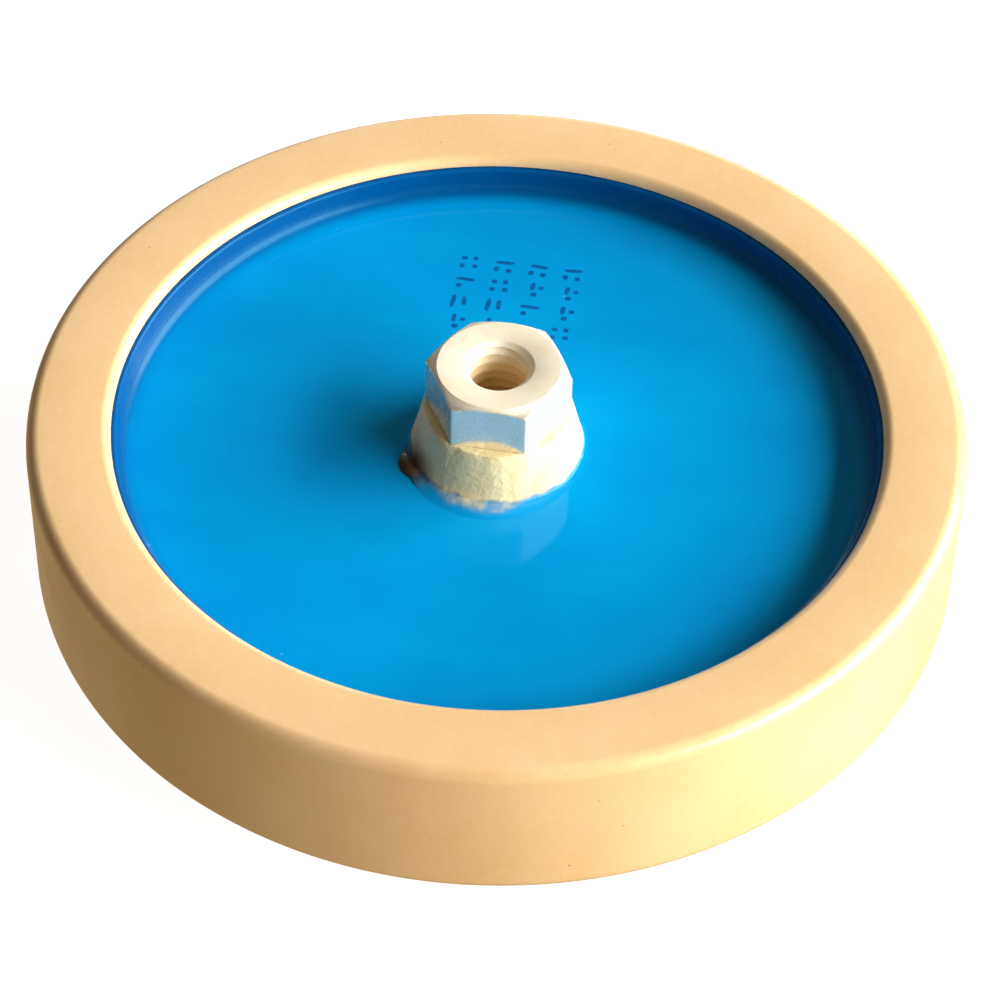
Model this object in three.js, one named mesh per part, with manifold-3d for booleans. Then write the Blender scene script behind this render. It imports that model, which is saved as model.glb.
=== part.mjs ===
// High-voltage ceramic plate capacitor: a thick-rimmed ceramic disc, recessed on both faces.
//
// Each recess is lined with a fired silver electrode under a blue enamel coat, and a hexagonal
// brass terminal with a threaded bore is soldered to its centre and bedded in a cream cement
// collar. A glaze band covers the rim, which keeps the two electrodes apart.
//
// Millimetres. +Z runs along the axis of revolution, and the origin is the centre of the lower
// terminal's end face. Two corners of each hexagon lie on the X axis.
import * as THREE from "three";
import { mergeVertices } from "three/addons/utils/BufferGeometryUtils.js";
import Module from "manifold-3d";

const wasm = await Module();
wasm.setup();

// Driving dimensions of the disc.
const DISC_DIAMETER = 110;
const RIM_HEIGHT = 20;
const RECESS_DIAMETER = 91; // between the ceramic walls
const RECESS_DEPTH = 5; // from the rim's face to the enamel
const RIM_EDGE_RADIUS = 1.6; // rounding of the rim's two outer edges
const MOUTH_EDGE_RADIUS = 1.2; // rounding of the rim's two edges at the recesses
const WALL_FILLET = 2.8; // in the ceramic, between the recess floor and its wall

// Layers on the ceramic, from the inside out. A thin bond line stands between neighbours.
const BOND = 0.05;
const ELECTRODE_THICKNESS = 0.3;
const ENAMEL_THICKNESS = 0.5;
const GLAZE_THICKNESS = 0.3;
const SOLDER_THICKNESS = 0.3;
const ELECTRODE_EDGE_DROP = 2.2; // from the rim's face down to the electrode's edge
const ENAMEL_LIP_DROP = 1.25; // from the rim's face down to the enamel's edge
const ENAMEL_LIP_RADIUS = 0.35;

// Driving dimensions of a terminal, for an M8 screw.
const TERMINAL_PROUD = 7.6; // end face above the rim's face
const HEX_ACROSS_FLATS = 15;
const HEX_CHAMFER_RADIUS = 7.2; // of the round land left on the end face
const HEX_CHAMFER_ANGLE = Math.PI / 6;
const HEX_LENGTH = 9;
const NECK_RADIUS = 7.2;
const FOOT_RADIUS = 9.2;
const FOOT_THICKNESS = 1.5;
const BORE_RADIUS = 3.4; // tapping drill for M8
const BORE_DEPTH = 9;
const COUNTERSINK_RADIUS = 4.2;
const DRILL_POINT_ANGLE = (118 / 360) * Math.PI; // half of the drill's 118 degree point

// Driving dimensions of the cement collar and the solder under it.
const COLLAR_BASE_RADIUS = 11;
const COLLAR_TOP_RADIUS = 8.2;
const COLLAR_SHOULDER_RADIUS = 8.9;
const COLLAR_HEIGHT = 6.3; // above the enamel
const COLLAR_SHOULDER_HEIGHT = 5.4;
const COLLAR_FLARE = 0.3; // how far the flank's control point stands outside the shoulder
const COLLAR_CLEARANCE = 0.1; // all round the terminal
const SOLDER_RADIUS = 10.2;
const ENAMEL_HOLE_RADIUS = 10.5;

const DISC_FACETS = 40;
const TERMINAL_FACETS = 36;
const ARC_STEPS = 3;

// Heights above the disc's middle plane, for the upper side.
const RIM_FACE = RIM_HEIGHT / 2;
const ENAMEL_FACE = RIM_FACE - RECESS_DEPTH;
const ENAMEL_OFFSET = 2 * BOND + ELECTRODE_THICKNESS + ENAMEL_THICKNESS;
const CERAMIC_FACE = ENAMEL_FACE - ENAMEL_OFFSET;
const SOLDER_BASE = CERAMIC_FACE + 2 * BOND + ELECTRODE_THICKNESS;
const FOOT_BASE = SOLDER_BASE + SOLDER_THICKNESS + BOND;
const TERMINAL_FACE = RIM_FACE + TERMINAL_PROUD;
const WALL_RADIUS = RECESS_DIAMETER / 2;
const HEX_CORNER_RADIUS = HEX_ACROSS_FLATS / Math.sqrt(3);

const ceramicMaterial = finish(0xe4c79a, 0.6, 0);
const glazeMaterial = finish(0xf0c88c, 0.25, 0);
const silverMaterial = finish(0xd9d9d4, 0.35, 1);
const enamelMaterial = finish(0x0494d8, 0.12, 0);
const solderMaterial = finish(0xa9abae, 0.4, 1);
const terminalMaterial = finish(0xe6dfc8, 0.28, 1);
const cementMaterial = finish(0xe6dcae, 0.7, 0);

function finish(color, roughness, metalness) {
  return new THREE.MeshStandardMaterial({ color, roughness, metalness });
}

// Points on an arc in the (radius, height) plane, both ends included.
function arc(radius, height, size, from, to, steps = ARC_STEPS) {
  return Array.from({ length: steps + 1 }, (_, i) => {
    const angle = from + ((to - from) * i) / steps;
    return new THREE.Vector2(radius + size * Math.cos(angle), height + size * Math.sin(angle));
  });
}

function point(radius, height) {
  return new THREE.Vector2(radius, height);
}

// The same outline reflected in the middle plane, run the other way.
function mirrored(outline) {
  return outline.map((p) => point(p.x, -p.y)).reverse();
}

// A solid of revolution about +Z. The outline runs upwards on its outer side, and is closed
// here unless both of its ends lie on the axis.
function turned(outline, facets) {
  const onAxis = outline[0].x === 0 && outline.at(-1).x === 0;
  const closed = onAxis ? outline : [...outline, outline[0].clone()];
  return new THREE.LatheGeometry(closed, facets).rotateX(Math.PI / 2);
}

// A prism on a regular hexagon with two corners on the X axis.
function hexPrism(cornerRadius, from, to) {
  const corners = Array.from({ length: 6 }, (_, i) => {
    const angle = (i * Math.PI) / 3;
    return point(cornerRadius * Math.cos(angle), cornerRadius * Math.sin(angle));
  });
  const prism = new THREE.ExtrudeGeometry(new THREE.Shape(corners), {
    depth: to - from,
    bevelEnabled: false,
  });
  return prism.translate(0, 0, from);
}

function toSolid(geometry) {
  const bare = geometry.clone();
  bare.deleteAttribute("normal");
  bare.deleteAttribute("uv");
  const merged = mergeVertices(bare);
  return new wasm.Manifold(
    new wasm.Mesh({
      numProp: 3,
      vertProperties: merged.attributes.position.array,
      triVerts: new Uint32Array(merged.index.array),
    }),
  );
}

function toGeometry(solid) {
  const mesh = solid.getMesh();
  const geometry = new THREE.BufferGeometry();
  geometry.setAttribute("position", new THREE.BufferAttribute(mesh.vertProperties, 3));
  geometry.setIndex(new THREE.BufferAttribute(mesh.triVerts, 1));
  const faceted = geometry.toNonIndexed();
  faceted.computeVertexNormals();
  return faceted;
}

// The rim's outline from the outer edge's middle height inwards, drawn in by an inset.
function upperRim(inset) {
  const edge = (radius, size, start) =>
    arc(radius, RIM_FACE - size, size - inset, start, start + Math.PI / 2);
  const mouth = WALL_RADIUS - GLAZE_THICKNESS - BOND + MOUTH_EDGE_RADIUS;
  return [
    ...edge(DISC_DIAMETER / 2 - RIM_EDGE_RADIUS, RIM_EDGE_RADIUS, 0),
    ...edge(mouth, MOUTH_EDGE_RADIUS, Math.PI / 2),
  ];
}

// The recess from its wall inwards, raised off the ceramic by an offset. The wall starts at
// the given height, and the floor ends at the given radius.
function upperRecess(offset, wallTop, floorEnd) {
  const wall = WALL_RADIUS - offset;
  const floor = CERAMIC_FACE + offset;
  const size = WALL_FILLET - offset;
  const fillet = arc(wall - size, floor + size, size, 2 * Math.PI, 1.5 * Math.PI);
  return [point(wall, wallTop), ...fillet, point(floorEnd, floor)];
}

function ceramicGeometry() {
  const rim = upperRim(GLAZE_THICKNESS + BOND);
  const recess = upperRecess(0, rim.at(-1).y, 0).slice(1);
  const upper = [...rim, ...recess];
  return turned([...mirrored(upper), ...upper], DISC_FACETS);
}

function glazeGeometry() {
  const outside = upperRim(0);
  const inside = upperRim(GLAZE_THICKNESS).reverse();
  return turned(
    [...mirrored(outside), ...outside, ...inside, ...mirrored(inside)],
    DISC_FACETS,
  );
}

function electrodeGeometry() {
  const edge = RIM_FACE - ELECTRODE_EDGE_DROP;
  const underside = upperRecess(BOND, edge, 0).reverse();
  const face = upperRecess(BOND + ELECTRODE_THICKNESS, edge, 0);
  return turned([...underside, ...face], DISC_FACETS);
}

function enamelGeometry() {
  const step = RIM_FACE - ELECTRODE_EDGE_DROP + BOND;
  const lip = RIM_FACE - ENAMEL_LIP_DROP;
  const back = upperRecess(2 * BOND + ELECTRODE_THICKNESS, step, ENAMEL_HOLE_RADIUS).reverse();
  const shoulder = [point(WALL_RADIUS - BOND, step), point(WALL_RADIUS - BOND, lip)];
  const face = upperRecess(ENAMEL_OFFSET, lip - ENAMEL_LIP_RADIUS, ENAMEL_HOLE_RADIUS);
  const rounding = arc(
    WALL_RADIUS - ENAMEL_OFFSET + ENAMEL_LIP_RADIUS,
    lip - ENAMEL_LIP_RADIUS,
    ENAMEL_LIP_RADIUS,
    Math.PI / 2,
    Math.PI,
  );
  return turned([...back, ...shoulder, ...rounding, ...face.slice(1)], DISC_FACETS);
}

function solderGeometry() {
  const top = SOLDER_BASE + SOLDER_THICKNESS;
  return turned(
    [point(0, SOLDER_BASE), point(SOLDER_RADIUS, SOLDER_BASE), point(FOOT_RADIUS, top), point(0, top)],
    TERMINAL_FACETS,
  );
}

// The terminal's outside as a solid, larger all round by a margin.
function terminalBlank(margin) {
  const hexBase = TERMINAL_FACE - HEX_LENGTH - margin;
  const end = TERMINAL_FACE + margin;
  const corner = HEX_CORNER_RADIUS + (2 * margin) / Math.sqrt(3);
  const reach = HEX_CORNER_RADIUS + 1 + margin;
  const land = HEX_CHAMFER_RADIUS + margin;
  const chamfer = (reach - land) * Math.tan(HEX_CHAMFER_ANGLE);
  const turnedHex = turned(
    [
      point(0, hexBase),
      point(land, hexBase),
      point(reach, hexBase + chamfer),
      point(reach, end - chamfer),
      point(land, end),
      point(0, end),
    ],
    TERMINAL_FACETS,
  );
  const hex = toSolid(hexPrism(corner, hexBase, end)).intersect(toSolid(turnedHex));
  const footTop = FOOT_BASE + FOOT_THICKNESS + margin;
  const foot = turned(
    [
      point(0, FOOT_BASE),
      point(FOOT_RADIUS + margin, FOOT_BASE),
      point(FOOT_RADIUS + margin, footTop),
      point(NECK_RADIUS + margin, footTop),
      point(NECK_RADIUS + margin, hexBase + margin + 1),
      point(0, hexBase + margin + 1),
    ],
    TERMINAL_FACETS,
  );
  return hex.add(toSolid(foot));
}

// The bore: a countersink, the threaded length and the drill's point.
function boreGeometry() {
  const depth = TERMINAL_FACE - BORE_DEPTH;
  const above = TERMINAL_FACE + 1;
  const countersink = COUNTERSINK_RADIUS - BORE_RADIUS;
  return turned(
    [
      point(0, depth - BORE_RADIUS / Math.tan(DRILL_POINT_ANGLE)),
      point(BORE_RADIUS, depth),
      point(BORE_RADIUS, TERMINAL_FACE - countersink),
      point(COUNTERSINK_RADIUS, TERMINAL_FACE),
      point(COUNTERSINK_RADIUS, above),
      point(0, above),
    ],
    TERMINAL_FACETS,
  );
}

function terminalGeometry() {
  return toGeometry(terminalBlank(0).subtract(toSolid(boreGeometry())));
}

// The collar is a bead with a hollow flank, cut to fit round the terminal.
function collarGeometry() {
  const inside = ENAMEL_HOLE_RADIUS - BOND;
  const flank = new THREE.QuadraticBezierCurve(
    point(COLLAR_BASE_RADIUS, ENAMEL_FACE + BOND),
    point(COLLAR_SHOULDER_RADIUS + COLLAR_FLARE, ENAMEL_FACE + COLLAR_SHOULDER_HEIGHT / 3),
    point(COLLAR_SHOULDER_RADIUS, ENAMEL_FACE + COLLAR_SHOULDER_HEIGHT),
  );
  const bead = turned(
    [
      point(0, FOOT_BASE),
      point(inside, FOOT_BASE),
      point(inside, ENAMEL_FACE + BOND),
      ...flank.getPoints(ARC_STEPS),
      point(COLLAR_TOP_RADIUS, ENAMEL_FACE + COLLAR_HEIGHT),
      point(0, ENAMEL_FACE + COLLAR_HEIGHT),
    ],
    TERMINAL_FACETS,
  );
  return toGeometry(toSolid(bead).subtract(terminalBlank(COLLAR_CLEARANCE)));
}

function mesh(name, geometry, material) {
  const made = new THREE.Mesh(geometry, material);
  made.name = name;
  return made;
}

// Everything that one face of the disc carries, from the ceramic outwards.
function side(name) {
  const group = new THREE.Group();
  group.add(
    mesh(`${name}_electrode`, electrodeGeometry(), silverMaterial),
    mesh(`${name}_enamel_coat`, enamelGeometry(), enamelMaterial),
    mesh(`${name}_solder_joint`, solderGeometry(), solderMaterial),
    mesh(`${name}_terminal`, terminalGeometry(), terminalMaterial),
    mesh(`${name}_cement_collar`, collarGeometry(), cementMaterial),
  );
  return group;
}

const capacitor = new THREE.Group();
capacitor.position.z = TERMINAL_FACE; // the middle plane's height above the lower end face

const upperSide = side("upper");
const lowerSide = side("lower");
lowerSide.rotation.x = Math.PI;

capacitor.add(
  mesh("ceramic_disc", ceramicGeometry(), ceramicMaterial),
  mesh("rim_glaze", glazeGeometry(), glazeMaterial),
  upperSide,
  lowerSide,
);

export default capacitor;
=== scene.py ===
"""Looks of a high-voltage ceramic plate capacitor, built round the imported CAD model.

Metres, in the row frame: +Z runs along the disc's axis, and the origin is the centre of the lower
terminal's end face. Both faces of the disc carry the same pieces. Each piece is made as the upper
face's, with heights above the disc's middle plane, and the lower face's is turned over.
"""

import math
import random

import bmesh
import bpy
from mathutils import Matrix, Vector, noise


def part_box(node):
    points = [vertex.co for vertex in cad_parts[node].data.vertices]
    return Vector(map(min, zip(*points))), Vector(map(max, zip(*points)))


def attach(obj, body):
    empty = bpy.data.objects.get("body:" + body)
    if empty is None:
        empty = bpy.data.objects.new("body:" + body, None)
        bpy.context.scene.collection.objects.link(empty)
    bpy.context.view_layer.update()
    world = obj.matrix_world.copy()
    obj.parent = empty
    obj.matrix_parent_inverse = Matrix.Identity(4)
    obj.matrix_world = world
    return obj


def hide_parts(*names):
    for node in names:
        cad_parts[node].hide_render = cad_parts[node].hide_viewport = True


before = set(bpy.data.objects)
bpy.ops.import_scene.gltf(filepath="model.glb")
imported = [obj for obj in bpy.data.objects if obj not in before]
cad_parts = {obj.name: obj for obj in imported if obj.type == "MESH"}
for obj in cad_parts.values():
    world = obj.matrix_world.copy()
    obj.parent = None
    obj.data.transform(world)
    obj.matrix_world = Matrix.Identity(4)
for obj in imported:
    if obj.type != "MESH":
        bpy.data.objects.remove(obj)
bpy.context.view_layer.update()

MM = 0.001

# ---------------------------------------------------------------- sizes from the CAD frame

glaze_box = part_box("rim_glaze")
electrode_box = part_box("upper_electrode")
enamel_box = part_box("upper_enamel_coat")
solder_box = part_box("upper_solder_joint")
terminal_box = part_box("upper_terminal")
collar_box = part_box("upper_cement_collar")

MIDDLE = (glaze_box[0].z + glaze_box[1].z) / 2
DISC_RADIUS = glaze_box[1].x
RIM_FACE = glaze_box[1].z - MIDDLE
BOND = 0.05 * MM  # the gap left between pieces that lie on one another
GLAZE_THICKNESS = 0.3 * MM
GLAZE_RUN = 0.02 * MM  # how far its outside falls short of full size, give or take as much
GLAZE_WAVE = 0.25  # the size of its waves, on a circle of 1
GLAZE_SEED = 3
GLAZE_TRUE_WIDTH = 4 * MM  # from the recess's wall, over which it stays true
ELECTRODE_THICKNESS = 0.3 * MM
ENAMEL_THICKNESS = 0.5 * MM
RIM_EDGE_RADIUS = 1.6 * MM  # of the rim's outer edges
MOUTH_EDGE_RADIUS = 1.2 * MM  # of its edges at the recesses
WALL_RADIUS = electrode_box[1].x + BOND
WALL_FILLET = 2.8 * MM
CERAMIC_FACE = electrode_box[0].z - MIDDLE - BOND
ELECTRODE_EDGE = electrode_box[1].z - MIDDLE
ENAMEL_EDGE = enamel_box[1].z - MIDDLE
ENAMEL_OFFSET = 2 * BOND + ELECTRODE_THICKNESS + ENAMEL_THICKNESS
ENAMEL_FACE = CERAMIC_FACE + ENAMEL_OFFSET
ENAMEL_HOLE_RADIUS = 10.5 * MM
ENAMEL_LIP_RADIUS = 0.35 * MM
ENAMEL_WANDER = 0.1 * MM  # how far its edge drops, give or take somewhat more
ENAMEL_WANDER_START = 2 * MM  # over the enamel's face, where the drop starts
ENAMEL_WANDER_RISE = 1.5 * MM  # over which it grows to the whole
ENAMEL_WAVES = ((1, 0.12, 0), (0.6, 0.04, 7))  # each (height, size, added to the seed)

SOLDER_BASE = solder_box[0].z - MIDDLE
SOLDER_TOP = solder_box[1].z - MIDDLE
SOLDER_RADIUS = solder_box[1].x

TERMINAL_FACE = terminal_box[1].z - MIDDLE
FOOT_BASE = terminal_box[0].z - MIDDLE
FOOT_RADIUS = terminal_box[1].x
FOOT_THICKNESS = 1.5 * MM
NECK_RADIUS = 7.2 * MM
HEX_ACROSS_FLATS = 15 * MM
HEX_CORNER_ROUNDING = 0.25 * MM
HEX_LENGTH = 9 * MM
LAND_RADIUS = 7.2 * MM
CHAMFER_SLOPE = math.tan(math.radians(30))
EDGE_ROUNDING = 0.12 * MM
# Rings under the chamfer, each (inwards, downwards) in edge roundings.
BROW_RINGS = ((0, 2), (0, 1), (0.3, 0.35))
COUNTERSINK_RADIUS = 4.2 * MM
THREAD_ROOT_RADIUS = 4.0 * MM
THREAD_CREST_RADIUS = 3.4 * MM
THREAD_PITCH = 1.25 * MM
THREAD_CREST_SHARE = 0.18  # of the pitch
THREAD_FLANK_SHARE = 0.6  # of the pitch, both flanks together
THREAD_RINGS = 24  # in each turn
BORE_DEPTH = 9 * MM
DRILL_POINT_SLOPE = math.tan(math.radians(31))

COLLAR_RADIUS = collar_box[1].x
COLLAR_TOP = collar_box[1].z - MIDDLE
BEAD_WANDER = 0.2 * MM  # how far its edge draws in, give or take as much
BEAD_WAVES = ((0.6, 0.55, 0), (0.4, 0.16, 5))  # each (height, size, added to the seed)
CEMENT_EDGE = 0.01 * MM  # its thickness where it runs out onto the enamel
CEMENT_LIFT = 1 * MM  # in from its end, over which it lifts clear of the enamel
FOOT_SHARE = 0.1  # of the way in from the bead's edge, where its flank starts to climb
CLIMB_SHARE = 0.6  # of the way in, over which it climbs to its crest
CREST_DROP = 0.35 * MM  # from the collar's top to the crest
LUMP_LIMIT = 0.3 * MM  # how far lumps may stand over the crest
LUMPS = ((0.42, 2.8), (0.13, 1.0))  # each (height, size) in millimetres
LUMP_GROWTH = 3  # lumps reach their full height at 1 / LUMP_GROWTH of the way in
COLLAR_FLAT_STEPS = 30  # along each flat
COLLAR_STEPS = 48  # from the hexagon to the cement's end
COLLAR_EASE = 0.8  # under 1, the steps are finer towards the end
RUN_ANGLE = math.radians(212)  # where a run of cement reaches further out
RUN_WIDTH = math.radians(12)
RUN_LENGTH = 1.5 * MM
RUN_THICKNESS = 0.5 * MM
RUN_DROP = 0.4  # of its length, where the drop in it is
RUN_DROP_WIDTH = 0.5  # of its length
APRON_ANGLE = math.radians(264)  # where a thin apron of cement spreads out on the enamel
APRON_WIDTH = math.radians(50)
APRON_LENGTH = 1.9 * MM
APRON_THICKNESS = 0.55 * MM
APRON_SLOPE = 1.5  # of its length, over which it thickens inwards
BROWN_PATCH_RADIUS = COLLAR_RADIUS + 0.5 * MM  # from the axis to the middle of the dark brown patch
BROWN_PATCH_PLACE = (BROWN_PATCH_RADIUS * math.cos(RUN_ANGLE), BROWN_PATCH_RADIUS * math.sin(RUN_ANGLE), ENAMEL_FACE)

UPPER_SEED = 2  # of the enamel's and the cement's unevenness
LOWER_SEED = 23
ON_ENAMEL = 0.002 * MM  # what lies on the enamel starts this far over it

MARK_CENTRE = (-2 * MM, 25 * MM)
MARK_LINES = 4
MARK_LINE_SPACING = 4.3 * MM
MARKS_PER_LINE = 4
MARK_SPACING = 3.6 * MM
MARK_SEED = 11
MARK_POINTS = 20
MARK_TILT = 0.08  # in radians, either way
MARK_RAGGEDNESS = 0.06  # of its size, either way
MARK_SQUARENESS = 0.62  # a power: 1 is an ellipse, and less fills the corners
INK_TOP = 0.015 * MM  # over the enamel
# Dots and dashes, each (across, along, half width, half length) in millimetres.
MARK_PATTERNS = (
    ((-0.8, 0, 0.28, 1.1), (0.5, 0.2, 0.28, 0.8)),
    ((0, 0.5, 1.2, 0.28), (-0.6, -0.7, 0.34, 0.34)),
    ((-0.8, -0.6, 0.34, 0.4), (0.7, -0.7, 0.34, 0.34), (0.1, 0.7, 1.1, 0.28)),
    ((0.1, -0.8, 0.36, 0.36), (-0.2, 0.6, 0.28, 0.7), (0.9, 0.5, 0.3, 0.3)),
    ((-0.8, -0.7, 0.32, 0.34), (0.8, -0.6, 0.34, 0.32), (-0.7, 0.7, 0.34, 0.3),
     (0.7, 0.8, 0.3, 0.34)),
)

SEGMENTS = 256  # round the axis
ARC_STEPS = 10


# ---------------------------------------------------------------- camera, light and floor

CAMERA_AZIMUTH = math.radians(8.3)
CAMERA_ELEVATION = math.radians(46.1)
CAMERA_ROLL = math.radians(1.38)
CAMERA_DISTANCE = 0.44
CAMERA_LENS = 130
CAMERA_CLIP_START = 0.01
AIM_RIGHT = 0.5 * MM
AIM_AWAY = 5 * MM

KEY_AZIMUTH = math.radians(1.5)
KEY_ELEVATION = math.radians(21)
KEY_DISTANCE = 3
KEY_SIZE = (4.8, 2.2)
KEY_POWER = 356
KEY_COLOR = (1, 0.96, 0.9)
PANEL_ELEVATION = math.radians(12)
PANEL_DISTANCE = 1.2
PANEL_SIZE = (0.9, 0.4)
PANEL_POWER = 2.5
PANEL_COLOR = (1, 0.93, 0.84)

ROOM_ABOVE = (0.12, 0.1, 0.08, 1)
ROOM_BELOW = (0.45, 0.33, 0.17, 1)
ROOM_LOW = -0.3  # the height of a unit direction, under which the room is all ROOM_BELOW
ROOM_HIGH = 0.2  # and over which it is all ROOM_ABOVE

FLOOR_RADIUS = 3
FLOOR_SEGMENTS = 64
FLOOR_DROP = 0.02 * MM  # clear of the lower terminal's end face
FLOOR_GLOW = 0.9
FLOOR_TONES = ((0.43, 0.43, 0.43, 1), (0.4, 0.4, 0.4, 1))


def direction(azimuth, elevation):
    """The unit vector at that azimuth from +X and that elevation above the floor."""
    level = math.cos(elevation)
    return Vector((level * math.cos(azimuth), level * math.sin(azimuth), math.sin(elevation)))


def look_at(thing, target):
    """Turns a camera or a light towards the target."""
    thing.rotation_euler = (target - thing.location).to_track_quat("-Z", "Y").to_euler()


def make_camera():
    right = direction(CAMERA_AZIMUTH, 0)
    away = direction(CAMERA_AZIMUTH + math.pi / 2, 0)
    target = right * AIM_RIGHT + away * AIM_AWAY + Vector((0, 0, glaze_box[0].z))
    camera = bpy.data.objects.new("camera", bpy.data.cameras.new("camera"))
    bpy.context.scene.collection.objects.link(camera)
    to_camera = direction(CAMERA_AZIMUTH - math.pi / 2, CAMERA_ELEVATION)
    camera.location = target + to_camera * CAMERA_DISTANCE
    look_at(camera, target)
    camera.rotation_euler.rotate_axis("Z", CAMERA_ROLL)
    camera.data.lens = CAMERA_LENS
    camera.data.clip_start = CAMERA_CLIP_START
    bpy.context.scene.camera = camera


def area_light(name, place, size, power, color):
    """A soft light at that place, turned towards the object."""
    data = bpy.data.lights.new(name, "AREA")
    data.shape = "RECTANGLE"
    data.size, data.size_y = size
    data.energy = power
    data.color = color
    light = bpy.data.objects.new(name, data)
    light.location = place
    look_at(light, Vector((0, 0, MIDDLE)))
    light.visible_camera = False
    bpy.context.scene.collection.objects.link(light)


def make_room():
    """A world that is dim overhead, and throws warm light back from below the horizon."""
    world = bpy.data.worlds.new("room")
    world.use_nodes = True
    tree = world.node_tree
    ray = add(tree, "ShaderNodeTexCoord", {}).outputs["Generated"]
    height = add(tree, "ShaderNodeSeparateXYZ", {0: ray}).outputs[2]
    color = mixed(tree, ramp(tree, height, ROOM_LOW, ROOM_HIGH), ROOM_BELOW, ROOM_ABOVE)
    tree.links.new(color, tree.nodes["Background"].inputs["Color"])
    bpy.context.scene.world = world


def make_studio():
    key_place = direction(KEY_AZIMUTH, KEY_ELEVATION) * KEY_DISTANCE
    area_light("key_light", key_place, KEY_SIZE, KEY_POWER, KEY_COLOR)
    panel_place = direction(CAMERA_AZIMUTH + math.pi / 2, PANEL_ELEVATION) * PANEL_DISTANCE
    area_light("back_panel", panel_place, PANEL_SIZE, PANEL_POWER, PANEL_COLOR)
    make_room()
    bpy.context.scene.view_settings.view_transform = "Standard"


# ---------------------------------------------------------------- material building blocks

CLOUD_LOW = 0.3  # the part of the noise's range over which one patch blends into the next
CLOUD_HIGH = 0.7


def shader(name, sockets):
    """A material whose Principled shader has these socket values.

    Returns the material, its node tree and its Principled shader."""
    material = bpy.data.materials.new(name)
    material.use_nodes = True
    principled = material.node_tree.nodes["Principled BSDF"]
    for socket, value in sockets.items():
        principled.inputs[socket].default_value = value
    return material, material.node_tree, principled


def add(tree, kind, inputs, **settings):
    """A new node. Each input is a plain value, or the output of another node."""
    node = tree.nodes.new(kind)
    for name, value in settings.items():
        setattr(node, name, value)
    for name, value in inputs.items():
        if isinstance(value, bpy.types.NodeSocket):
            tree.links.new(value, node.inputs[name])
        else:
            node.inputs[name].default_value = value
    return node


def position(tree):
    """The place on the object, in the row frame."""
    return add(tree, "ShaderNodeTexCoord", {}).outputs["Object"]


def lumps(tree, size, detail=2.0, stretch=(1, 1, 1), distortion=0.0):
    """Noise from 0 to 1, whose lumps are about that size across, longer where stretch is more."""
    scale = [1 / (size * s) for s in stretch]
    place = add(tree, "ShaderNodeMapping", {"Vector": position(tree), "Scale": scale})
    inputs = {"Vector": place.outputs[0], "Scale": 1.0, "Detail": detail, "Distortion": distortion}
    return add(tree, "ShaderNodeTexNoise", inputs).outputs[0]


def specks(tree, spacing, radius):
    """1 at the middle of scattered specks of that radius, falling to 0 at their edges."""
    inputs = {"Vector": position(tree), "Scale": 1 / spacing}
    distance = add(tree, "ShaderNodeTexVoronoi", inputs).outputs["Distance"]
    return ramp(tree, distance, 0, radius / spacing, 1, 0)


def ramp(tree, value, low, high, at_low=0.0, at_high=1.0):
    """A smooth step of value from low to high."""
    inputs = {0: value, 1: low, 2: high, 3: at_low, 4: at_high}
    return add(tree, "ShaderNodeMapRange", inputs, interpolation_type="SMOOTHSTEP").outputs[0]


def cloudy(tree, size, detail, at_low=0.0, at_high=1.0):
    """Patches of about that size, from at_low to at_high, with even middles and soft edges."""
    return ramp(tree, lumps(tree, size, detail), CLOUD_LOW, CLOUD_HIGH, at_low, at_high)


def math_node(tree, operation, first, second=0.0):
    return add(tree, "ShaderNodeMath", {0: first, 1: second}, operation=operation).outputs[0]


def product(tree, first, second):
    return math_node(tree, "MULTIPLY", first, second)


def total(tree, first, second):
    return math_node(tree, "ADD", first, second)


def inverse(tree, share):
    """1 where the share is 0, and 0 where it is 1."""
    return math_node(tree, "SUBTRACT", 1.0, share)


def mixed(tree, factor, first, second):
    """Colour first where factor is 0, and second where it is 1."""
    inputs = {0: factor, 6: first, 7: second}
    return add(tree, "ShaderNodeMix", inputs, data_type="RGBA").outputs[2]


def bumped(tree, principled, *reliefs):
    """Adds reliefs, each (height from 0 to 1, its depth in metres), to the surface."""
    normal = None
    for height, depth in reliefs:
        inputs = {"Height": height, "Distance": depth, "Strength": 1.0}
        if normal is not None:
            inputs["Normal"] = normal
        normal = add(tree, "ShaderNodeBump", inputs).outputs[0]
    tree.links.new(normal, principled.inputs["Normal"])


def radius_and_height(tree):
    """The distance from the disc's axis, and the distance from its middle plane."""
    parts = add(tree, "ShaderNodeSeparateXYZ", {0: position(tree)}).outputs
    squares = total(tree, product(tree, parts[0], parts[0]), product(tree, parts[1], parts[1]))
    from_middle = math_node(tree, "ABSOLUTE", math_node(tree, "SUBTRACT", parts[2], MIDDLE))
    return math_node(tree, "SQRT", squares), from_middle


def face_position(tree):
    """The place on a piece as it is made: over the middle plane, before it is turned over."""
    parts = add(tree, "ShaderNodeSeparateXYZ", {0: position(tree)}).outputs
    from_middle = math_node(tree, "SUBTRACT", parts[2], MIDDLE)
    away = product(tree, parts[1], math_node(tree, "SIGN", from_middle))
    height = math_node(tree, "ABSOLUTE", from_middle)
    return add(tree, "ShaderNodeCombineXYZ", {0: parts[0], 1: away, 2: height}).outputs[0]


def rgb(red, green, blue):
    """An sRGB colour, each part from 0 to 255, as the linear colour that a shader takes."""
    def linear(part):
        share = part / 255
        return share / 12.92 if share <= 0.04045 else ((share + 0.055) / 1.055) ** 2.4
    return (linear(red), linear(green), linear(blue), 1.0)


# ---------------------------------------------------------------- materials

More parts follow.
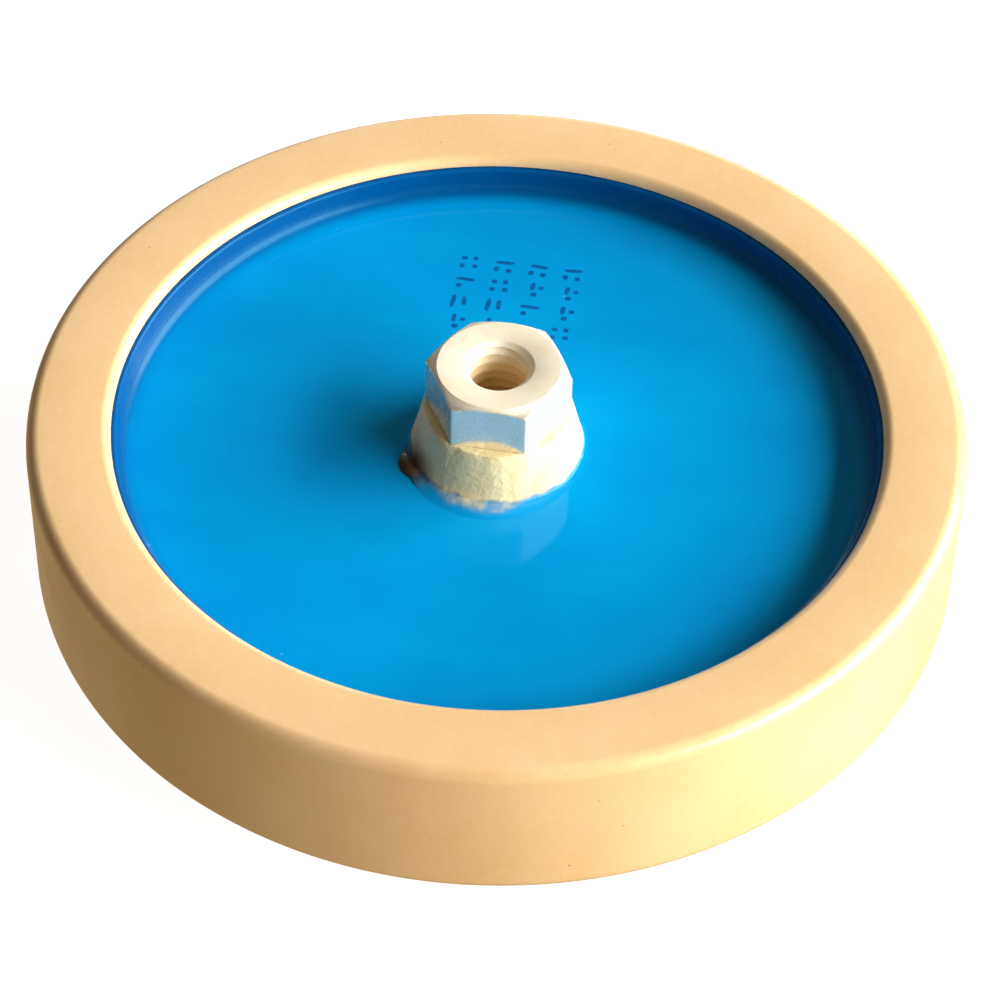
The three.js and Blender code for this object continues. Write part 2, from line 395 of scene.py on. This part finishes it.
def glaze_material():
    """Warm beige glaze: cloudy, with pin holes, dark specks and amber where it thins on edges."""
    material, tree, principled = shader("rim_glaze", {"Coat Weight": 0.4, "Coat Roughness": 0.16})
    color = mixed(tree, cloudy(tree, 14 * MM, 3), rgb(249, 212, 160), rgb(244, 203, 146))
    grain = ramp(tree, lumps(tree, 0.7 * MM, 3), 0.35, 0.7)
    color = mixed(tree, product(tree, grain, 0.35), color, rgb(252, 218, 174))
    radius, height = radius_and_height(tree)
    outside = ramp(tree, radius, DISC_RADIUS - 1.5 * MM, DISC_RADIUS - 0.3 * MM)
    shoulder = ramp(tree, height, RIM_FACE - 1.5 * MM, RIM_FACE - 0.2 * MM, 1, 0)
    face_edge = product(tree, outside, inverse(tree, shoulder))
    patchy = cloudy(tree, 4 * MM, 2, 0.1, 0.45)
    color = mixed(tree, product(tree, face_edge, patchy), color, rgb(232, 176, 104))
    dark = product(tree, specks(tree, 5 * MM, 0.22 * MM), 0.75)
    color = mixed(tree, dark, color, rgb(120, 74, 34))
    tree.links.new(color, principled.inputs["Base Color"])
    tree.links.new(cloudy(tree, 5 * MM, 3, 0.3, 0.45), principled.inputs["Roughness"])
    pits = inverse(tree, specks(tree, 1.9 * MM, 0.14 * MM))
    peel = lumps(tree, 2.6 * MM)
    fine = lumps(tree, 0.5 * MM)
    bumped(tree, principled, (peel, 0.03 * MM), (fine, 0.004 * MM), (pits, 0.03 * MM))
    return material


def ceramic_material():
    """Fired titanate ceramic: matt, with a fine grain, dark specks and a slight waviness."""
    material, tree, principled = shader("ceramic", {"Roughness": 0.62})
    color = mixed(tree, cloudy(tree, 9 * MM, 4), rgb(226, 197, 152), rgb(210, 178, 132))
    dark = product(tree, specks(tree, 2.2 * MM, 0.15 * MM), 0.6)
    tree.links.new(mixed(tree, dark, color, rgb(112, 84, 52)), principled.inputs["Base Color"])
    grain = lumps(tree, 0.25 * MM, 4)
    bumped(tree, principled, (grain, 0.02 * MM), (lumps(tree, 3 * MM), 0.03 * MM))
    return material


def enamel_material():
    """Glossy stoved enamel: a deep blue with orange peel, dust and nibs, and painted shade on the
    recess's wall and under its lip.
    """
    sockets = {"Specular IOR Level": 0.32, "Specular Tint": (0.2, 0.75, 1, 1)}
    material, tree, principled = shader("blue_enamel", sockets)
    color = mixed(tree, cloudy(tree, 18 * MM, 3), rgb(0, 161, 235), rgb(0, 152, 228))
    streak = ramp(tree, lumps(tree, 5 * MM, 2, (3, 1, 1)), 0.4, 0.75, 0, 0.3)
    color = mixed(tree, streak, color, rgb(0, 168, 237))
    radius, height = radius_and_height(tree)
    wall = ramp(tree, radius, WALL_RADIUS - 3.2 * MM, WALL_RADIUS - 1.2 * MM)
    # painted shade: the recess's wall is a darker blue, standing in for the shade on it
    color = mixed(tree, wall, color, rgb(0, 80, 142))
    edge = ramp(tree, height, ENAMEL_EDGE - 0.5 * MM, ENAMEL_EDGE)
    # painted shade: darker still at the top of the wall, just under the lip
    color = mixed(tree, edge, color, rgb(0, 84, 154))
    dust = product(tree, specks(tree, 7 * MM, 0.2 * MM), 0.6)
    color = mixed(tree, dust, color, rgb(160, 190, 220))
    tree.links.new(color, principled.inputs["Base Color"])
    rough = ramp(tree, lumps(tree, 6 * MM, 3), 0.3, 0.75, 0.05, 0.12)
    dulled = product(tree, wall, 0.2)
    tree.links.new(total(tree, rough, dulled), principled.inputs["Roughness"])
    nibs = specks(tree, 5.3 * MM, 0.3 * MM)
    bumped(tree, principled, (lumps(tree, 3.5 * MM), 0.02 * MM), (nibs, 0.03 * MM))
    return material


def terminal_material():
    """Silver-plated brass: matt white with turning marks on the end face, brighter drawn flats.

    It is tarnished in patches. Down the bore it takes a warm brass tint, for plating that thins
    there and for painted shade."""
    material, tree, principled = shader("silver_plate", {})
    cloud = ramp(tree, lumps(tree, 2.5 * MM, 4), 0.35, 0.7)
    color = mixed(tree, cloud, rgb(255, 250, 232), rgb(254, 243, 216))
    tarnish = ramp(tree, lumps(tree, 1.3 * MM, 5, distortion=0.6), 0.6, 0.82, 0, 0.4)
    color = mixed(tree, tarnish, color, rgb(232, 196, 146))
    radius, height = radius_and_height(tree)
    in_bore = ramp(tree, radius, THREAD_ROOT_RADIUS, COUNTERSINK_RADIUS, 1, 0)
    down = ramp(tree, height, TERMINAL_FACE - 5 * MM, TERMINAL_FACE - 0.5 * MM, 0.85, 0)
    # thin plating and painted shade: a warm brass tint that deepens down the bore
    color = mixed(tree, product(tree, in_bore, down), color, rgb(250, 216, 148))
    tree.links.new(color, principled.inputs["Base Color"])
    on_face = ramp(tree, height, TERMINAL_FACE - 0.7 * MM, TERMINAL_FACE - 0.1 * MM)
    matt = math_node(tree, "MAXIMUM", on_face, in_bore)
    tree.links.new(ramp(tree, matt, 0, 1, 0.55, 0.1), principled.inputs["Metallic"])
    rough = ramp(tree, lumps(tree, 0.9 * MM, 4), 0.3, 0.75, 0.18, 0.32)
    dull = product(tree, matt, 0.2)
    tree.links.new(total(tree, rough, dull), principled.inputs["Roughness"])
    turns = math_node(tree, "SINE", product(tree, radius, 2 * math.pi / (0.22 * MM)))
    turning = product(tree, turns, on_face)
    drawn = lumps(tree, 0.16 * MM, 2, (1, 1, 40))
    dents = lumps(tree, 1.1 * MM, 3)
    bumped(tree, principled, (turning, 0.003 * MM), (drawn, 0.006 * MM), (dents, 0.008 * MM))
    return material


def cement_material():
    """Cream cement, chalky and pitted, thin enough at its foot for the enamel to show through.

    It turns dark brown round the run at its foot."""
    material, tree, principled = shader("cream_cement", {"Specular IOR Level": 0.25})
    color = mixed(tree, cloudy(tree, 3 * MM, 4), rgb(255, 244, 196), rgb(252, 234, 174))
    dirt = ramp(tree, lumps(tree, 1.4 * MM, 5), 0.58, 0.8, 0, 0.35)
    color = mixed(tree, dirt, color, rgb(214, 186, 122))
    above = math_node(tree, "SUBTRACT", radius_and_height(tree)[1], ENAMEL_FACE + BOND)
    ragged = product(tree, lumps(tree, 1.8 * MM, 6), 1.1 * MM)
    cover = ramp(tree, total(tree, above, ragged), 0.55 * MM, 1.35 * MM)
    thick = product(tree, cover, ramp(tree, above, 0, 0.3 * MM))
    color = mixed(tree, thick, rgb(172, 162, 112), color)
    color = mixed(tree, thick, rgb(0, 157, 231), color)
    # a dark brown patch round the run at the cement's foot, fading out by 5.5 mm from its middle
    from_brown_patch = add(tree, "ShaderNodeVectorMath", {0: face_position(tree), 1: BROWN_PATCH_PLACE},
                    operation="DISTANCE").outputs["Value"]
    brown_patch = ramp(tree, total(tree, from_brown_patch, ragged), 1.4 * MM, 5.5 * MM, 0.97, 0)
    color = mixed(tree, brown_patch, color, rgb(78, 44, 12))
    tree.links.new(color, principled.inputs["Base Color"])
    tree.links.new(ramp(tree, thick, 0, 0.5, 0.09, 0.62), principled.inputs["Roughness"])
    grit = product(tree, thick, lumps(tree, 0.8 * MM, 4))
    pits = inverse(tree, product(tree, thick, specks(tree, 0.9 * MM, 0.16 * MM)))
    bumped(tree, principled, (grit, 0.14 * MM), (pits, 0.06 * MM))
    return material


def metal_film_material(name, light, dark, roughness, lump):
    """A dull metal skin: the fired silver, or the solder."""
    material, tree, principled = shader(name, {"Metallic": 1.0, "Roughness": roughness})
    color = mixed(tree, cloudy(tree, lump, 4), light, dark)
    tree.links.new(color, principled.inputs["Base Color"])
    grain = lumps(tree, lump / 6, 3)
    bumped(tree, principled, (grain, 0.01 * MM), (lumps(tree, lump), 0.03 * MM))
    return material


def ink_material():
    """Stamped ink: dark blue, thinner and paler in blotches."""
    sockets = {"Roughness": 0.3, "Specular IOR Level": 0.2}
    material, tree, principled = shader("marking_ink", sockets)
    blotch = ramp(tree, lumps(tree, 0.5 * MM, 3), 0.4, 0.8)
    color = mixed(tree, blotch, rgb(0, 92, 162), rgb(0, 118, 190))
    tree.links.new(color, principled.inputs["Base Color"])
    bumped(tree, principled, (lumps(tree, 0.2 * MM), 0.005 * MM))
    return material


def floor_material():
    """A pale floor that glows, so that the object's shadow on it stays faint."""
    sockets = {"Roughness": 0.6, "Emission Color": (1, 1, 1, 1), "Emission Strength": FLOOR_GLOW}
    material, tree, principled = shader("pale_floor", sockets)
    color = mixed(tree, lumps(tree, 60 * MM), *FLOOR_TONES)
    tree.links.new(color, principled.inputs["Base Color"])
    return material


# ---------------------------------------------------------------- mesh building blocks

def clamped(value):
    """The value, kept between 0 and 1."""
    return min(max(value, 0), 1)


def arc(radius, height, size, start, end):
    """Points on an arc in the (radius, height) plane, from one angle in degrees to another."""
    points = []
    for i in range(ARC_STEPS + 1):
        angle = math.radians(start + (end - start) * i / ARC_STEPS)
        points.append((radius + size * math.cos(angle), height + size * math.sin(angle)))
    return points


def mirrored(outline):
    """The same outline below the middle plane, run the other way."""
    return [(radius, -height) for radius, height in reversed(outline)]


def steady(radius, height, angle):
    """Leaves a point of a turned outline where it is."""
    return radius, height


def turned(outline, uneven=steady):
    """A closed mesh of revolution. Its outline starts and ends on the axis, or closes on itself.

    uneven moves a point of the outline at an angle round the axis."""
    mesh = bmesh.new()
    rings = []
    for radius, height in outline:
        ring = []
        for i in range(SEGMENTS if radius > 0 else 1):
            angle = 2 * math.pi * i / SEGMENTS
            moved, level = uneven(radius, height, angle)
            ring.append(mesh.verts.new((moved * math.cos(angle), moved * math.sin(angle), level)))
        rings.append(ring)
    join_rings(mesh, rings, closed=outline[0][0] > 0)
    return mesh


def join_rings(mesh, rings, closed=False):
    """Faces between neighbouring rings of vertices. A ring of one vertex is a pole."""
    following = rings[1:] + rings[:1] if closed else rings[1:]
    for low, high in zip(rings, following):
        count = max(len(low), len(high))
        for i in range(count):
            j = (i + 1) % count
            corners = [low[i % len(low)], low[j % len(low)],
                       high[j % len(high)], high[i % len(high)]]
            mesh.faces.new(list(dict.fromkeys(corners)))
    bmesh.ops.recalc_face_normals(mesh, faces=mesh.faces)


def ripple(angle, size, seed, height=0.0):
    """Smooth noise from -1 to 1 round a circle of 1, with waves of about that size."""
    return noise.noise(Vector((math.cos(angle) / size, math.sin(angle) / size, height + seed)))


def waves(angle, parts, seed):
    """Ripples of several sizes added up, each part of them (height, size, added to the seed)."""
    return sum(height * ripple(angle, size, seed + shift) for height, size, shift in parts)


def make_piece(name, mesh, material, node, lower=False, sharp_angle=35):
    """Turns the mesh into a named piece of the object, in place of the CAD node."""
    turn = Matrix.Rotation(math.pi, 4, "X") if lower else Matrix.Identity(4)
    mesh.transform(Matrix.Translation((0, 0, MIDDLE)) @ turn)
    data = bpy.data.meshes.new(name)
    mesh.to_mesh(data)
    mesh.free()
    data.shade_smooth()
    data.set_sharp_from_angle(angle=math.radians(sharp_angle))
    data.materials.append(material)
    piece = bpy.data.objects.new(name, data)
    bpy.context.scene.collection.objects.link(piece)
    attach(piece, "root")
    if node:
        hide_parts(node)


# ---------------------------------------------------------------- the disc and its coats

def upper_rim(inset):
    """The rim from its outer side to its mouth, drawn in by an inset."""
    def edge(radius, size, start):
        return arc(radius, RIM_FACE - size, size - inset, start, start + 90)

    mouth = WALL_RADIUS - GLAZE_THICKNESS - BOND + MOUTH_EDGE_RADIUS
    outer = edge(DISC_RADIUS - RIM_EDGE_RADIUS, RIM_EDGE_RADIUS, 0)
    return outer + edge(mouth, MOUTH_EDGE_RADIUS, 90)


def upper_recess(offset, wall_top, floor_end):
    """The recess from the top of its wall to the floor's end, raised off the ceramic."""
    wall = WALL_RADIUS - offset
    size = WALL_FILLET - offset
    fillet = arc(wall - size, CERAMIC_FACE + offset + size, size, 360, 270)
    return [(wall, wall_top)] + fillet + [(floor_end, CERAMIC_FACE + offset)]


def ceramic_mesh():
    """The ceramic disc, recessed on both faces."""
    rim = upper_rim(GLAZE_THICKNESS + BOND)
    upper = rim + upper_recess(0, rim[-1][1], 0)[1:]
    return turned(mirrored(upper) + upper)


def glaze_mesh():
    """The glaze over the rim, uneven outside by a few hundredths of a millimetre."""
    def flowing(radius, height, angle):
        wave = GLAZE_RUN * (ripple(angle, GLAZE_WAVE, GLAZE_SEED, height / MM) - 1)
        return radius + (wave if radius > WALL_RADIUS + GLAZE_TRUE_WIDTH else 0), height

    outside = upper_rim(0)
    inside = upper_rim(GLAZE_THICKNESS)[::-1]
    return turned(mirrored(outside) + outside + inside + mirrored(inside), flowing)


def electrode_mesh():
    """The silver film over the recess."""
    back = upper_recess(BOND, ELECTRODE_EDGE, 0)[::-1]
    face = upper_recess(BOND + ELECTRODE_THICKNESS, ELECTRODE_EDGE, 0)
    return turned(back + face)


def enamel_mesh(seed):
    """The enamel coat, with an edge that wanders a little along the wall's top.

    The step behind its edge wanders too, so in places it dips 0.05 mm into the silver film's
    edge, where nothing shows."""
    def hand_laid(radius, height, angle):
        share = clamped((height - ENAMEL_FACE - ENAMEL_WANDER_START) / ENAMEL_WANDER_RISE)
        drop = ENAMEL_WANDER * (waves(angle, ENAMEL_WAVES, seed) - 1)
        return radius, height + share * drop

    step = ELECTRODE_EDGE + BOND
    corner = ENAMEL_EDGE - ENAMEL_LIP_RADIUS
    outer = WALL_RADIUS - BOND
    back = upper_recess(2 * BOND + ELECTRODE_THICKNESS, step, ENAMEL_HOLE_RADIUS)[::-1]
    lip = arc(WALL_RADIUS - ENAMEL_OFFSET + ENAMEL_LIP_RADIUS, corner, ENAMEL_LIP_RADIUS, 90, 180)
    face = upper_recess(ENAMEL_OFFSET, corner, ENAMEL_HOLE_RADIUS)[1:]
    return turned(back + [(outer, step), (outer, ENAMEL_EDGE)] + lip + face, hand_laid)


def solder_mesh():
    """A disc of solder, with the hollow flank that solder leaves against the foot."""
    flank = arc(SOLDER_RADIUS, SOLDER_TOP, SOLDER_TOP - SOLDER_BASE, 270, 180)
    return turned([(0, SOLDER_BASE)] + flank + [(0, SOLDER_TOP)])


# ---------------------------------------------------------------- the terminal

def on_circle(radius, angle):
    return Vector((radius * math.cos(angle), radius * math.sin(angle)))


def hexagon(across_flats, rounding, per_flat=16, per_corner=4):
    """A hexagon's outline with rounded corners, two of them on the X axis, as (angle, radius)."""
    corner = (across_flats / 2 - rounding) / math.cos(math.pi / 6)
    outline = []
    for k in range(6):
        middle = on_circle(corner, k * math.pi / 3)
        following = on_circle(corner, (k + 1) * math.pi / 3)
        for i in range(per_corner + 1):
            turn = k * math.pi / 3 + (i / per_corner - 0.5) * math.pi / 3
            outline.append(middle + rounding * on_circle(1, turn))
        outward = rounding * on_circle(1, (k + 0.5) * math.pi / 3)
        for i in range(1, per_flat):
            outline.append(middle.lerp(following, i / per_flat) + outward)
    return [(math.atan2(p.y, p.x), p.length) for p in outline]


def thread_radius(angle, below):
    """The bore's radius at that depth below the end face: an M8 thread inside a countersink."""
    turns = below / THREAD_PITCH + angle / (2 * math.pi)
    wave = abs(2 * (turns % 1) - 1)
    groove = clamped((wave - THREAD_CREST_SHARE) / THREAD_FLANK_SHARE)
    fade = clamped((BORE_DEPTH - below) / THREAD_PITCH)
    thread = THREAD_CREST_RADIUS + fade * groove * (THREAD_ROOT_RADIUS - THREAD_CREST_RADIUS)
    return max(thread, COUNTERSINK_RADIUS - below)


def terminal_mesh():
    """The hexagonal terminal: foot, neck, chamfered hexagon and threaded bore."""
    mesh = bmesh.new()
    outline = hexagon(HEX_ACROSS_FLATS, HEX_CORNER_ROUNDING)
    hex_base = TERMINAL_FACE - HEX_LENGTH

    def ring(radius_at, height_at):
        return [mesh.verts.new((radius_at(angle, edge) * math.cos(angle),
                                radius_at(angle, edge) * math.sin(angle),
                                height_at(angle, edge))) for angle, edge in outline]

    def level(radius, height):
        return ring(lambda angle, edge: radius, lambda angle, edge: height)

    def brow(edge):
        """Where the chamfer's cone meets the hexagon's side."""
        return TERMINAL_FACE - (edge - LAND_RADIUS) * CHAMFER_SLOPE

    rings = [[mesh.verts.new((0, 0, FOOT_BASE))]]
    foot_top = FOOT_BASE + FOOT_THICKNESS
    for radius, height in [(FOOT_RADIUS, FOOT_BASE), (FOOT_RADIUS, foot_top),
                           (NECK_RADIUS, foot_top), (NECK_RADIUS, hex_base)]:
        rings.append(level(radius, height))
    rings.append(ring(lambda angle, edge: edge, lambda angle, edge: hex_base))
    for side, drop in BROW_RINGS:
        rings.append(ring(lambda angle, edge: edge - side * EDGE_ROUNDING,
                          lambda angle, edge: brow(edge) - drop * EDGE_ROUNDING))
    for inward in (1, 2):
        rings.append(ring(lambda angle, edge: edge - inward * EDGE_ROUNDING,
                          lambda angle, edge: brow(edge - inward * EDGE_ROUNDING)))
    rings.append(level(LAND_RADIUS, TERMINAL_FACE))
    rings.append(level(COUNTERSINK_RADIUS + EDGE_ROUNDING, TERMINAL_FACE))
    steps = THREAD_RINGS * int(BORE_DEPTH / THREAD_PITCH)
    for step in range(steps + 1):
        below = EDGE_ROUNDING / 2 + (BORE_DEPTH - EDGE_ROUNDING / 2) * step / steps
        rings.append(ring(lambda angle, edge: thread_radius(angle, below),
                          lambda angle, edge: TERMINAL_FACE - below))
    point = TERMINAL_FACE - BORE_DEPTH - THREAD_CREST_RADIUS * DRILL_POINT_SLOPE
    rings.append([mesh.verts.new((0, 0, point))])
    join_rings(mesh, rings)
    return mesh


# ---------------------------------------------------------------- the cement collar

def bead_edge(angle, seed):
    """The radius at which the cement's bead ends, which wanders round the foot."""
    return COLLAR_RADIUS - BEAD_WANDER * (1 - waves(angle, BEAD_WAVES, seed))


def toward(angle, middle, width):
    """1 in that direction, falling smoothly to 0 away from it."""
    off = (angle - middle + math.pi) % (2 * math.pi) - math.pi
    return math.exp(-(off / width) ** 2)


def collar_edge(angle, seed):
    """The radius at which the cement runs out onto the enamel, the run and apron included."""
    run = RUN_LENGTH * toward(angle, RUN_ANGLE, RUN_WIDTH)
    apron = APRON_LENGTH * toward(angle, APRON_ANGLE, APRON_WIDTH)
    return bead_edge(angle, seed) + max(run, apron)


def collar_height(radius, angle, seed):
    """The height of the cement's lumpy surface above the enamel at that radius."""
    inner = HEX_ACROSS_FLATS / 2
    bead = bead_edge(angle, seed)
    share = max((bead - radius) / (bead - inner), 0)
    crest = COLLAR_TOP - ENAMEL_FACE - CREST_DROP
    climb = clamped((share - FOOT_SHARE) / CLIMB_SHARE)
    profile = crest * climb ** 2 * (3 - 2 * climb)
    from_drop = (radius - bead - RUN_DROP * RUN_LENGTH) / (RUN_DROP_WIDTH * RUN_LENGTH)
    drop = RUN_THICKNESS * toward(angle, RUN_ANGLE, RUN_WIDTH) * math.exp(-from_drop ** 2)
    inward = min((collar_edge(angle, seed) - radius) / (APRON_SLOPE * APRON_LENGTH), 1)
    apron = APRON_THICKNESS * toward(angle, APRON_ANGLE, APRON_WIDTH) * inward
    place = Vector((radius * math.cos(angle), radius * math.sin(angle), seed * MM)) / MM
    lump = sum(height * noise.noise(place / size) for height, size in LUMPS)
    uneven = lump * MM * min(share * LUMP_GROWTH, 1)
    return max(min(profile + apron + uneven, crest + LUMP_LIMIT), 0) + drop + CEMENT_EDGE


def collar_mesh(seed):
    """A hand-laid bead of cement round the terminal's foot, hexagonal inside."""
    mesh = bmesh.new()
    outline = hexagon(HEX_ACROSS_FLATS + 2 * BOND, HEX_CORNER_ROUNDING, COLLAR_FLAT_STEPS)
    foot_top = FOOT_BASE + FOOT_THICKNESS + BOND
    hex_base = TERMINAL_FACE - HEX_LENGTH - BOND
    hole = ENAMEL_HOLE_RADIUS - BOND
    inside = [(hole, ENAMEL_FACE + BOND), (hole, FOOT_BASE),
              (FOOT_RADIUS + BOND, FOOT_BASE), (FOOT_RADIUS + BOND, foot_top),
              (NECK_RADIUS + BOND, foot_top), (NECK_RADIUS + BOND, hex_base)]

    def ring(place):
        made = []
        for angle, edge in outline:
            radius, height = place(angle, edge)
            x, y = radius * math.cos(angle), radius * math.sin(angle)
            made.append(mesh.verts.new((x, y, height)))
        return made

    def on_surface(share):
        def place(angle, edge):
            end = collar_edge(angle, seed)
            radius = edge + (end - edge) * share
            off_enamel = BOND * min((end - radius) / CEMENT_LIFT, 1)
            return radius, ENAMEL_FACE + off_enamel + collar_height(radius, angle, seed)
        return place

    rings = [ring(lambda angle, edge: corner) for corner in inside]
    rings.append(ring(lambda angle, edge: (edge, hex_base)))
    for step in range(COLLAR_STEPS + 1):
        rings.append(ring(on_surface((step / COLLAR_STEPS) ** COLLAR_EASE)))
    rings.append(ring(lambda angle, edge: (collar_edge(angle, seed), ENAMEL_FACE + ON_ENAMEL)))
    join_rings(mesh, rings, closed=True)
    return mesh


# ---------------------------------------------------------------- the ink marks

def ink_mesh():
    """A block of stamped dots and dashes in four lines: a pattern with no letters in it."""
    dice = random.Random(MARK_SEED)
    mesh = bmesh.new()
    for line in range(MARK_LINES):
        x = MARK_CENTRE[0] + (line - (MARK_LINES - 1) / 2) * MARK_LINE_SPACING
        for place in range(MARKS_PER_LINE):
            y = MARK_CENTRE[1] + (place - (MARKS_PER_LINE - 1) / 2) * MARK_SPACING
            for across, along, half_width, half_length in dice.choice(MARK_PATTERNS):
                mark_patch(mesh, x + across * MM, y + along * MM, half_width * MM,
                           half_length * MM, dice)
    bmesh.ops.recalc_face_normals(mesh, faces=mesh.faces)
    return mesh


def mark_patch(mesh, x, y, half_width, half_length, dice):
    """One rounded patch of ink with a ragged edge, a hundredth of a millimetre thick."""
    def squared(wave):
        return math.copysign(abs(wave) ** MARK_SQUARENESS, wave)

    tilt = dice.uniform(-MARK_TILT, MARK_TILT)
    base, top = [], []
    for i in range(MARK_POINTS):
        angle = 2 * math.pi * i / MARK_POINTS
        ragged = 1 + dice.uniform(-MARK_RAGGEDNESS, MARK_RAGGEDNESS)
        u = half_width * ragged * squared(math.cos(angle))
        v = half_length * ragged * squared(math.sin(angle))
        px = x + u * math.cos(tilt) - v * math.sin(tilt)
        py = y + u * math.sin(tilt) + v * math.cos(tilt)
        base.append(mesh.verts.new((px, py, ENAMEL_FACE + ON_ENAMEL)))
        top.append(mesh.verts.new((px, py, ENAMEL_FACE + INK_TOP)))
    mesh.faces.new(base)
    mesh.faces.new(top)
    for i in range(MARK_POINTS):
        j = (i + 1) % MARK_POINTS
        mesh.faces.new((base[i], base[j], top[j], top[i]))


# ---------------------------------------------------------------- putting it together

def make_floor():
    """The floor doesn't light the object or show in it: the room's light comes through it."""
    mesh = bmesh.new()
    bmesh.ops.create_circle(mesh, cap_ends=True, radius=FLOOR_RADIUS, segments=FLOOR_SEGMENTS)
    data = bpy.data.meshes.new("floor")
    mesh.to_mesh(data)
    mesh.free()
    data.materials.append(floor_material())
    floor = bpy.data.objects.new("floor", data)
    floor.location.z = -FLOOR_DROP
    floor.visible_diffuse = False
    floor.visible_glossy = False
    floor.visible_shadow = False
    bpy.context.scene.collection.objects.link(floor)


def make_side(side, lower, looks, seed):
    """Everything that one face of the disc carries."""
    make_piece(f"{side}_silver_film", electrode_mesh(), looks["silver"],
               f"{side}_electrode", lower)
    make_piece(f"{side}_blue_enamel", enamel_mesh(seed), looks["enamel"],
               f"{side}_enamel_coat", lower)
    make_piece(f"{side}_solder", solder_mesh(), looks["solder"],
               f"{side}_solder_joint", lower)
    make_piece(f"{side}_hex_terminal", terminal_mesh(), looks["terminal"],
               f"{side}_terminal", lower, sharp_angle=25)
    make_piece(f"{side}_cement_bead", collar_mesh(seed), looks["cement"],
               f"{side}_cement_collar", lower)


make_camera()
make_studio()
make_floor()

looks = {
    "silver": metal_film_material("silver_film", rgb(222, 220, 214), rgb(204, 200, 190),
                                  roughness=0.4, lump=3 * MM),
    "enamel": enamel_material(),
    "solder": metal_film_material("soft_solder", rgb(176, 178, 182), rgb(150, 150, 154),
                                  roughness=0.45, lump=2 * MM),
    "terminal": terminal_material(),
    "cement": cement_material(),
}

make_piece("ceramic_body", ceramic_mesh(), ceramic_material(), "ceramic_disc")
make_piece("glazed_rim", glaze_mesh(), glaze_material(), "rim_glaze")
make_side("upper", False, looks, UPPER_SEED)
make_side("lower", True, looks, LOWER_SEED)
make_piece("stamped_marks", ink_mesh(), ink_material(), None)
